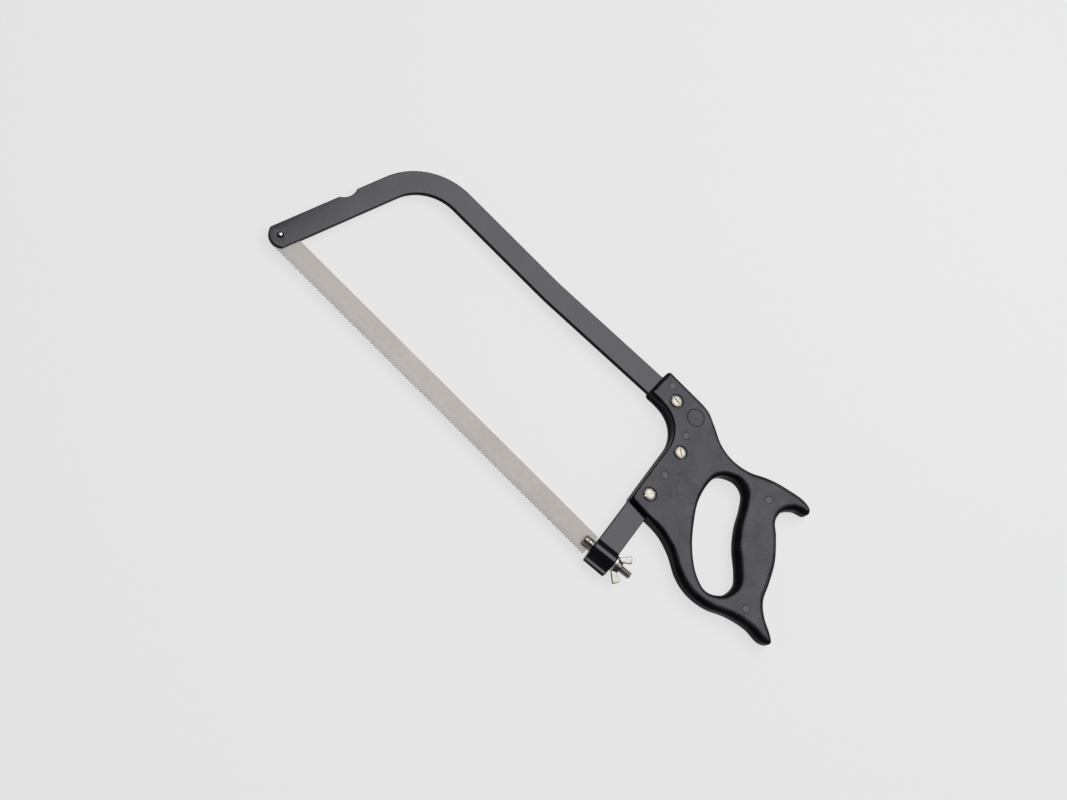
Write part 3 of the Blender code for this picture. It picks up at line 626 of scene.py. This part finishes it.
besidePin = -leftOf(legDir) * bow["pinOffset"]
toeCentre = besidePin + legDir * (bow["toeRadius"] - bow["toeEnd"])
frontCorner = besidePin + legDir * (bow["spine"] - besidePin[1]) / legDir[1]
riseCorner = np.array([bow["riseStart"], bow["spine"]])
rearCorner = riseCorner + spineDir * cross(eyeCentre - riseCorner, tailDir) / cross(spineDir, tailDir)
barEnd = eyeCentre + tailDir * bow["barEnd"]
bowLine = roundedPath([toeCentre, frontCorner, riseCorner, rearCorner, barEnd], bow["bends"])
rearLine = roundedPath([riseCorner, rearCorner, barEnd], bow["bends"][2:])


def boltPlace(along, boltwise=True):  # frame on the bolt's axis, its z (or x) along the bolt
    b = np.array([*boltDir, 0.0])
    up = np.array([0.0, 0.0, 1.0])
    place = np.eye(4)
    columns = (up, np.cross(b, up), b) if boltwise else (b, np.cross(up, b), up)
    place[:3, :3] = np.column_stack(columns)
    place[:3, 3] = np.array([*tailPin, 0.0]) + b * along
    return place


def turned(angle, at=(0.0, 0.0), height=0.0):
    place = np.eye(4)
    c, s = heading(angle)
    place[:2, :2] = [[c, -s], [s, c]]
    place[:3, 3] = [*at, height]
    return place


def barStation(distance):  # along the centre line, from the middle of the rear bend
    turn = math.radians(bow["rise"] - bow["tail"])
    radius = bow["bends"][2]
    halfArc, run = radius * turn / 2, radius * math.tan(turn / 2)
    if distance > halfArc:
        return rearCorner + tailDir * (run + distance - halfArc)
    centre = rearCorner - spineDir * run - leftOf(spineDir) * radius
    return centre + heading(bow["rise"] + 90 - math.degrees((distance + halfArc) / radius)) * radius


screw = dict(stations=(-0.0242, 0.0308, 0.0851), slots=(-4.0, -38.0, 62.0), radius=0.0058, rim=0.0008, dome=0.0013)
screw.update(sink=0.0011, seatGap=0.0003, shank=0.0026, end=-0.0084, slotHalf=0.0006, slotDepth=0.0010)
screwAt = [barStation(d) for d in screw["stations"]]


def filletPlace(flat, q):  # where a fillet of radius q touches the eye, from its centre
    reach = math.sqrt((eye["radius"] + q) ** 2 - (flat + q) ** 2)
    return reach, math.degrees(math.atan2(flat + q, reach))


def barrelLoop():  # the eye's end view, with a hollow fillet on each side
    flat = bow["half"] - 0.00002  # just below the bar's face
    q0, q1 = eye["fillets"]
    (reach0, lift0), (reach1, lift1) = filletPlace(flat, q0), filletPlace(flat, q1)
    top = [arcPoints((reach0, flat + q0), q0, 270, 180 + lift0, 8)]
    top.append(arcPoints((0, 0), eye["radius"], lift0, 180 - lift1, 40))
    top.append(arcPoints((-reach1, flat + q1), q1, 360 - lift1, 270, 12))
    top = np.vstack(top)
    return np.vstack([top, top[::-1] * [1, -1]])[:, ::-1] * [1, -1]


def makeBow():
    points, normals = bowLine
    halfWidth = bow["width"] / 2
    outer, inner = points + normals * halfWidth, points - normals * halfWidth
    halfNotch = notch["length"] / 2
    notchRadius = (halfNotch**2 + notch["depth"] ** 2) / (2 * notch["depth"])
    reach = halfWidth + notchRadius - notch["depth"] - bow["pinOffset"]
    notchCentre = legDir * notch["height"] + leftOf(legDir) * reach
    spread = math.degrees(math.asin(halfNotch / notchRadius))
    towards = bow["lean"] - 90  # straight into the bar
    dip = arcPoints(notchCentre, notchRadius, towards - spread, towards + spread, 15)
    toeSpread = math.degrees(math.asin(halfWidth / bow["toeRadius"]))
    down = bow["lean"] - 180
    toe = arcPoints(toeCentre, bow["toeRadius"], down + toeSpread, down - toeSpread, 25)
    lip = [line[-1] - tailDir * d for line in (outer, inner) for d in (0.012, 0.006)]
    rim = np.vstack([toe, dip, outer[1:-1], lip[:2], outer[-1:], inner[-1:], lip[:1:-1], inner[-2:0:-1]])
    ends = np.linalg.norm(rim - barEnd, axis=1) < 0.0130
    holes = [circleLoop((0, 0), bow["pinHole"])] + [circleLoop(p, bow["screwHole"]) for p in screwAt]
    radii = [np.where(ends, bow["lip"], bow["edge"]), bow["pinSink"]] + [0.0002] * len(screwAt)
    piece = newPiece("bow", *plateSurface([rim, *holes], radii, bow["half"], 5))
    barrel = plateSurface([barrelLoop()], [eye["edge"]], eyeLength / 2, 4)
    carve(piece, newPiece("barrel", *barrel, boltPlace(eyeFromPin)), "UNION")
    carve(piece, newPiece("bore", *latheSurface(boreProfile(eye["bore"]), 48), boltPlace(eyeFromPin)))
    kerfTop = (bow["bladeBack"] + (halfWidth + bow["pinOffset"]) * legDir[0]) / legDir[1] + bow["kerfGap"]
    kerf = boxSurface((-0.03, -0.03, -bow["kerfHalf"]), (kerfTop, 0.03, bow["kerfHalf"]))
    carve(piece, newPiece("kerf", *kerf, turned(bow["lean"])))
    finishPiece(piece, paint, "bow", "frame_paint", "frame", wall=shadedPaintWall, slope=0.975)


makeBow()

# handle: outline and finger hole as offsets from the corner of the rear bend
handle = dict(half=0.010, reach=0.0580, drop=0.1096, inset=0.0006, corner=0.0036, fuller=0.00045, slotGap=0.00015)
handle["rounds"] = (0.0036, 0.0018, 0.0032, 0.0050, 0.0046)  # end, wall by the bow, foot, swell, top
handle["swell"] = (
    (0.0101, -0.1094), (0.0281, -0.1104), (0.0449, -0.1121), (0.0617, -0.1185), (0.0818, -0.1304), (0.1010, -0.1345),
    (0.1212, -0.1315), (0.1412, -0.1224), (0.1623, -0.1172), (0.1803, -0.1180), (0.1886, -0.1130), (0.1826, -0.1066),
    (0.1688, -0.0990), (0.1571, -0.0869), (0.1506, -0.0690), (0.1416, -0.0485), (0.1275, -0.0294), (0.1168, -0.0176),
    (0.1157, -0.0046), (0.1247, 0.0070), (0.1360, 0.0120), (0.1353, 0.0186), (0.1236, 0.0209), (0.1043, 0.0169),
    (0.0842, 0.0097), (0.0661, 0.0001), (0.0471, -0.0039), (0.0283, -0.0008), (0.0114, 0.0083), (-0.0047, 0.0158),
    (-0.0219, 0.0168), (-0.0379, 0.0166),
)
handle["hole"] = (
    (0.0436, -0.0377), (0.0482, -0.0234), (0.0619, -0.0157), (0.0753, -0.0186), (0.0844, -0.0322), (0.0918, -0.0498),
    (0.1038, -0.0678), (0.1193, -0.0838), (0.1273, -0.0961), (0.1243, -0.1124), (0.1097, -0.1221), (0.0912, -0.1161),
    (0.0724, -0.0997), (0.0565, -0.0777), (0.0470, -0.0588),
)
handle["marks"] = ((-0.0084, -0.0009, 0.0091), (-0.0033, -0.0221, 0.0040), (0.0069, -0.0679, 0.0040))
handle["marks"] += ((-0.0457, 0.0062, 0.0040), (0.0978, -0.0082, 0.0040), (0.1485, -0.1073, 0.0040))


def smoothStep(x, low, high):
    t = np.clip((x - low) / (high - low), 0, 1)
    return t * t * (3 - 2 * t)


def pushed(curve, distance, closed=False):  # to the right of its direction
    ahead = np.roll(curve, -1, axis=0) - np.roll(curve, 1, axis=0) if closed else np.gradient(curve, axis=0)
    ahead /= np.linalg.norm(ahead, axis=1)[:, None]
    return curve + np.column_stack([ahead[:, 1], -ahead[:, 0]]) * np.reshape(distance, (-1, 1))


def handleLoops():
    points, normals = rearLine
    wall = (points - normals * (bow["width"] / 2 + handle["inset"]))[1:-1]
    end = wall[0] + spineDir * (rearCorner[0] - handle["reach"] - wall[0][0]) / spineDir[0]
    foot = wall[-1] + tailDir * (rearCorner[1] - handle["drop"] - wall[-1][1]) / tailDir[1]
    swell = smoothCurve(rearCorner + np.array(handle["swell"]), 9)
    x, y = (swell - rearCorner).T
    inward = (1 - smoothStep(x, 0.172, 0.184)) * (1 - smoothStep(y, 0.0140, 0.0175))
    swell = pushed(swell, handle["fuller"] * inward)  # but not where the part ends
    top = np.array([end[0], swell[-1][1]])
    size = handle["corner"]
    ends = [arcPoints(end + size, size, 180, 270, 7), wall, arcPoints(foot + size, size, 180, 270, 7), swell]
    ends.append(arcPoints(top + [size, -size], size, 90, 180, 7))
    rounds = np.concatenate([np.full(len(part), r) for part, r in zip(ends, handle["rounds"])])
    hole = smoothCurve(rearCorner + np.array(handle["hole"]), 10, closed=True)
    x, y = (hole - rearCorner).T
    upper = smoothStep(x, 0.060, 0.075) * smoothStep(y, -0.050, -0.030)
    hole = pushed(hole, 0.0003 + 0.0006 * upper, True)
    return np.vstack(ends), rounds, hole


def makeHandle():
    rim, rimRadius, hole = handleLoops()
    x = rim[:, 0] - rearCorner[0]
    rimRadius = rimRadius + 0.0016 * smoothStep(x, 0.045, 0.090)  # fuller on the grip, horn and heel
    away = hole - rearCorner
    palm = smoothStep(away[:, 0] - (-0.62 * away[:, 1] + 0.0415), 0.000, 0.030)  # the side the fingers close on
    holeRadius = 0.0054 + palm * 0.0038
    fine = ((0.00022, 0.00018), (0.00050, 0.00003))  # ejector marks: a groove round a disc
    deep = ((0.00028, 0.00034), (0.00068, 0.00003))
    marks = [(*(rearCorner + [x, y]), size, deep if size > 0.005 else fine) for x, y, size in handle["marks"]]
    surface = pillowSurface([rim, hole], [rimRadius, holeRadius], handle["half"], 10, marks)
    piece = newPiece("handle", *surface)
    points, normals = rearLine
    near = points + normals * (bow["width"] / 2 + handle["slotGap"])
    far = points - normals * bow["width"]
    slot = plateSurface([np.vstack([near, far[::-1]])], [0.0003], bow["half"] + handle["slotGap"], 3)
    carve(piece, newPiece("slot", *slot))
    seat = handle["half"] - screw["sink"]
    head = [(0, 0.02), (0.0074, 0.02), (0.0074, 0.01), (0.0070, 0.0096), (0.0070, seat), (0, seat)]
    recess = [(0, -0.0051), (0.0058, -0.0051), (0.0058, -0.02), (0, -0.02)]
    for at in screwAt:
        for profile, start in ((head, 0), (boreProfile(bow["screwHole"]), 3.2), (recess, 0)):  # facets kept apart
            carve(piece, newPiece("sink", *latheSurface(profile, 56), turned(start, at)))
    weldPoints(piece.data, 2e-6)
    finishPiece(piece, plastic, "bow", "handle_plastic", "handle", angle=35, wall=shadedPlasticWall, slope=0.9)
    tintMarks(piece, [mark[:3] for mark in marks[1:]])


def tintMarks(piece, marks):  # the small discs are a little paler
    piece.data.materials.append(plasticMark)
    count = len(piece.data.polygons)
    centre, index = np.empty(3 * count), np.empty(count, np.int32)
    piece.data.polygons.foreach_get("center", centre)
    piece.data.polygons.foreach_get("material_index", index)
    x, y, z = (centre.reshape(-1, 3) - sawOrigin).T
    for markX, markY, size in marks:
        index[(np.hypot(x - markX, y - markY) < 0.9 * size) & (z > handle["half"] - 0.0001)] = 2
    piece.data.polygons.foreach_set("material_index", index)


makeHandle()

# screws and their nuts
nut = dict(radius=0.0055, length=0.0040, sunk=0.0006, bore=0.0029, slot=0.0006)


def makeScrews():
    seat = handle["half"] - screw["sink"] + screw["seatGap"]
    edge = seat + screw["rim"]
    r, shank, end = screw["radius"], screw["shank"], screw["end"]
    profile = [(r * math.sin(a), edge + screw["dome"] * math.cos(a)) for a in np.linspace(0, math.pi / 2, 12)]
    profile += [(r, seat + 0.0001), (r - 0.0001, seat), (shank, seat), (shank, end), (0, end)]
    low = nut["sunk"] - handle["half"]
    ring = ringProfile(nut["bore"], nut["radius"], low, low + nut["length"], 0.0003)
    for i, (at, angle) in enumerate(zip(screwAt, screw["slots"]), 1):
        head = newPiece(f"screw{i}", *latheSurface(profile, 56), turned(angle, at))
        slotLow = edge + screw["dome"] - screw["slotDepth"]
        cut = boxSurface((-0.02, -screw["slotHalf"], slotLow), (0.02, screw["slotHalf"], 0.02))
        carve(head, newPiece("slot", *cut, turned(angle, at)))
        finishPiece(head, screwNickel, "bow", "nickel", f"handle_screw_{i}")
        back = newPiece(f"backNut{i}", *latheSurface(ring, 56), turned(-angle, at))
        cut = boxSurface((-0.02, -nut["slot"], -0.02), (0.02, nut["slot"], low + 0.0010))
        carve(back, newPiece("slot", *cut, turned(-angle, at)))
        finishPiece(back, screwNickel, "bow", "nickel", f"handle_nut_{i}")


makeScrews()

# blade: a strip whose teeth lean to alternate sides
blade = dict(back=bow["bladeBack"], width=0.0232, half=0.0004, toe=0.0070, tail=0.0024, corner=0.0040)
blade.update(pitch=0.0029, depth=0.0021, rake=0.30, lean=0.00045, toeHole=0.0025, slack=0.0025, tailHole=0.0019)
steel = bladeSteel(eye["span"], blade["back"] - blade["width"], blade["back"])


def makeBlade():
    toe, tail, tips = -blade["toe"], eye["span"] + blade["tail"], blade["back"] - blade["width"]
    gum = tips + blade["depth"]
    start = toe + blade["corner"] + blade["pitch"]
    count = int((tail - start) / blade["pitch"])
    x = start + np.arange(count) * blade["pitch"]
    teeth = np.empty((2 * count, 2))
    teeth[0::2] = np.column_stack([x, np.full(count, gum)])
    teeth[1::2] = np.column_stack([x + blade["rake"] * blade["pitch"], np.full(count, tips)])
    nose = arcPoints((toe + blade["corner"], gum + blade["corner"]), blade["corner"], 180, 270, 9)
    backEdge = np.column_stack([np.linspace(tail, toe, 60), np.full(60, blade["back"])])
    rim = np.vstack([[[tail, gum]], backEdge, nose, teeth])
    turn, far = eye["tilt"], boltDir * blade["slack"]  # the blade is drawn along the bolt
    slot = [arcPoints((0, 0), blade["toeHole"], turn + 90, turn + 270, 13)]
    slot.append(arcPoints(far, blade["toeHole"], turn - 90, turn + 90, 13))
    loops = [rim, np.vstack(slot), circleLoop(tailPin, blade["tailHole"], 32)]
    verts, faces = plateSurface(loops, [0.00003] * len(loops), blade["half"], 2)
    tooth = np.floor((verts[:, 0] - start) / blade["pitch"] + 0.01).astype(int)
    low = np.clip((gum - verts[:, 1]) / blade["depth"], 0, 1)
    verts[:, 2] += np.where(tooth % 2 == 0, 1, -1) * low * blade["lean"]  # set of the teeth
    finishPiece(newPiece("blade", verts, faces, weld=False), steel, "drawn", "blade_steel", "blade", angle=30)


makeBlade()

# pins, bolt, washer and wing nut
bolt = dict(radius=0.0036, head=0.0055, front=0.0061, back=eye["headBack"], chamfer=0.0006, beyond=0.0118)
bolt.update(pitch=0.00125, thread=0.0007, pinHole=0.00175)
washer = dict(radius=0.0083, thick=0.0020, bore=0.0040, gap=0.0003)
wing = dict(base=0.0070, top=0.0054, length=0.0058, bore=0.0039, tip=0.0173, half=0.0012, corner=0.0016)
wing.update(rootOuter=0.0082, rootInner=0.0050, start=0.0004, end=0.0036)
wing.update(tipStart=0.0084, tipEnd=0.0130, tipInner=0.0106)
washerStart = eyeFromPin + eyeLength / 2 + washer["gap"]
nutStart = washerStart + washer["thick"] + washer["gap"]
boltEnd = nutStart + wing["length"] + bolt["beyond"]


def domedPin(radius, half, dome):
    arch = [(radius * math.sin(a), half + dome * math.cos(a)) for a in np.linspace(0, math.pi / 2, 9)]
    return arch + [(r, -z) for r, z in reversed(arch)]


def makePins():
    toePin = newPiece("toePin", *latheSurface(domedPin(0.00225, 0.0043, 0.0006), 40))
    finishPiece(toePin, nickel, "bow", "nickel", "toe_pin", wall=shadedNickelEdge, slope=0.8)
    across = newPiece("tailPin", *latheSurface(domedPin(0.0016, 0.0055, 0.0005), 40), turned(0, tailPin))
    finishPiece(across, zinc, "drawn", "zinc", "tail_pin")


def threadSurface(low, high, count=72, step=0.00010):
    # r = root + d t, t a blunted triangle wave of (z - pitch a / 2pi) / pitch
    z = np.linspace(low, high, int((high - low) / step) + 1)
    a = np.linspace(0, math.tau, count, endpoint=False)
    phase = ((z[:, None] - bolt["pitch"] * a[None, :] / math.tau) / bolt["pitch"]) % 1
    crest = np.clip(1.25 * (1 - np.abs(2 * phase - 1)) - 0.12, 0, 1)
    fade = np.clip((high - z) / 0.0012, 0, 1) * np.clip((z - low) / 0.001, 0, 1)
    r = bolt["radius"] - bolt["thread"] + bolt["thread"] * crest * fade[:, None]
    height = np.broadcast_to(z[:, None], r.shape)
    verts = np.stack([r * np.cos(a), r * np.sin(a), height], axis=-1).reshape(-1, 3)
    j, i = np.meshgrid(np.arange(len(z) - 1), np.arange(count), indexing="ij")
    k = (i + 1) % count
    quads = np.stack([j * count + i, j * count + k, (j + 1) * count + k, (j + 1) * count + i], axis=-1)
    last = (len(z) - 1) * count
    caps = [list(range(count))[::-1], list(range(last, last + count))]
    return verts, quads.reshape(-1, 4).tolist() + caps


def makeBolt():
    verts, faces = threadSurface(bolt["back"] - 0.0002, boltEnd)
    shank = newPiece("boltThread", verts, faces, boltPlace(0.0), weld=False)
    finishPiece(shank, boltMetal, "drawn", "bolt_steel", angle=60)
    size, back, front = bolt["head"], bolt["back"], bolt["front"]
    profile = roundedProfile([(0, back), (size, back), (size, -front), (0, -front)], bolt["chamfer"])
    head = newPiece("boltHead", *latheSurface(profile, 56), boltPlace(0.0))
    cut = boxSurface((-0.02, -0.02, -bow["kerfHalf"]), (blade["tail"] + 0.0004, 0.02, bow["kerfHalf"]))
    carve(head, newPiece("slot", *cut, turned(0, tailPin)))
    carve(head, newPiece("hole", *latheSurface(boreProfile(bolt["pinHole"]), 32), turned(0, tailPin)))
    finishPiece(head, headMetal, "drawn", "bolt_steel", "draw_bolt")


def makeWasher():
    ring = ringProfile(washer["bore"], washer["radius"], 0, washer["thick"], 0.0004)
    piece = newPiece("washer", *latheSurface(ring, 72), boltPlace(washerStart))
    finishPiece(piece, zinc, "bow", "zinc", "washer")


def makeWingNut():
    ring = ringProfile(wing["bore"], wing["base"], 0, wing["length"], 0.0006, wing["top"])
    verts, faces = latheSurface(ring, 72)
    verts = verts[:, [2, 1, 0]] * [1, 1, -1]  # axis from z to x
    tips = [(wing["start"], 0.0046), (wing["start"], wing["rootOuter"]), (wing["tipStart"], wing["tip"])]
    tips += [(wing["tipEnd"], wing["tipInner"]), (wing["end"], wing["rootInner"]), (wing["end"], 0.0042)]
    path, _ = roundedPath([np.array(p) for p in tips], (0.0004, wing["corner"], wing["corner"], 0.0004), 12)
    for side in (1, -1):
        loop = path * [1, side]
        more, moreFaces = plateSurface([loop], [0.0007], wing["half"], 4)
        faces = faces + [[v + len(verts) for v in f] for f in moreFaces]
        verts = np.vstack([verts, more])
    piece = newPiece("wingNut", verts, faces, boltPlace(nutStart, False))
    remesh = piece.modifiers.new("cast", "REMESH")
    remesh.mode = "VOXEL"
    remesh.voxel_size = 0.00022
    soften = piece.modifiers.new("soften", "SMOOTH")
    soften.factor, soften.iterations = 0.5, 8
    bakeModifiers(piece)
    finishPiece(piece, wingNickel, "nut", "nickel", "wing_nut", angle=80, wall=shadedNickelEdge, slope=0.93)


makePins()
makeBolt()
makeWasher()
makeWingNut()


# floor, light and camera
stage = dict(floorTone=0.13, floorGlow=0.69, reach=20.0, sweep=3.0, worldLevel=(0.40, 0.34, 0.02))
stage.update(lampTilt=24.0, lampDistance=1.7, lampShift=0.23, lampSize=(1.8, 1.5), lampPower=27.5)


def makeFloor():
    mesh = bpy.data.meshes.new("floor")
    r, up = stage["reach"], stage["sweep"]
    corners = [(-r, -r), (r, -r), (r, r), (-r, r)]
    verts = [(x, y, 0) for x, y in corners] + [(1.1 * x, 1.1 * y, up) for x, y in corners]
    sides = [(i + 4, (i + 1) % 4 + 4, (i + 1) % 4, i) for i in range(4)]  # far off, it turns up to a backdrop
    mesh.from_pydata(verts, [], [(0, 1, 2, 3)] + sides)
    floor = bpy.data.objects.new("floor", mesh)
    floor.location.z = cadBox[0][2] - 0.0002
    scene.collection.objects.link(floor)
    material, tree, shader, place = newMaterial("paleFloor", Specular_IOR_Level=0.0)
    tone = useGroup(tree, mottle, Vector=place, Scale=3.0, Low=0.0, High=1.0)
    low, high = stage["floorTone"] * 0.995, stage["floorTone"]
    tree.links.new(colourRamp(tree, tone, (low,) * 3, (high,) * 3), shader.inputs["Base Color"])
    shader.inputs["Roughness"].default_value = 0.9
    shader.inputs["Emission Color"].default_value = (1, 1, 1, 1)
    ray = tree.nodes.new("ShaderNodeLightPath").outputs
    mirrored = mathNode(tree, "MAXIMUM", ray["Is Glossy Ray"], ray["Is Transmission Ray"])
    seen = mathNode(tree, "MAXIMUM", ray["Is Camera Ray"], mirrored)
    tree.links.new(mathNode(tree, "MULTIPLY", seen, stage["floorGlow"]), shader.inputs["Emission Strength"])
    mesh.materials.append(material)


def makeLight():
    lamp = bpy.data.lights.new("softbox", "AREA")
    lamp.shape = "RECTANGLE"
    lamp.size, lamp.size_y = stage["lampSize"]
    lamp.energy = stage["lampPower"]
    box = bpy.data.objects.new("softbox", lamp)
    tilt, far = math.radians(stage["lampTilt"]), stage["lampDistance"]
    box.location = (stage["lampShift"], math.sin(tilt) * far, math.cos(tilt) * far)
    box.rotation_euler = (-tilt, 0, 0)
    scene.collection.objects.link(box)
    world = scene.world or bpy.data.worlds.new("studio")
    scene.world = world
    world.use_nodes = True
    tree = world.node_tree
    around = tree.nodes.new("ShaderNodeTexCoord").outputs["Generated"]
    height = addNode(tree, "ShaderNodeSeparateXYZ", Vector=around)
    low, middle, top = stage["worldLevel"]  # pale walls below a dark ceiling
    sky = colourRamp(tree, height.outputs["Z"], (low,) * 3, (top,) * 3, 0.0, 0.80)
    stop = sky.node.color_ramp.elements.new(0.62)
    stop.color = (middle, middle, middle, 1)
    tree.links.new(sky, tree.nodes["Background"].inputs["Color"])


def makeCamera():
    view = dict(at=(0.275599, -0.508228, 1.284909), tilt=24.0, roll=44.87, lens=50.0, sensor=36.0)
    tilt, roll = math.radians(view["tilt"]), math.radians(view["roll"])
    across, up = np.array([1.0, 0, 0]), np.array([0, math.cos(tilt), math.sin(tilt)])
    back = np.array([0, -math.sin(tilt), math.cos(tilt)])
    right = math.cos(roll) * across + math.sin(roll) * up
    above = -math.sin(roll) * across + math.cos(roll) * up
    lens = bpy.data.cameras.new("camera")
    lens.lens, lens.sensor_width, lens.sensor_fit = view["lens"], view["sensor"], "HORIZONTAL"
    camera = bpy.data.objects.new("camera", lens)
    place = np.eye(4)
    place[:3, :3] = np.column_stack([right, above, back])
    place[:3, 3] = np.array(view["at"]) + sawOrigin
    camera.matrix_world = Matrix(place.tolist())
    scene.collection.objects.link(camera)
    scene.camera = camera


makeFloor()
makeLight()
makeCamera()
scene.view_settings.view_transform = "Standard"
print("stage set")
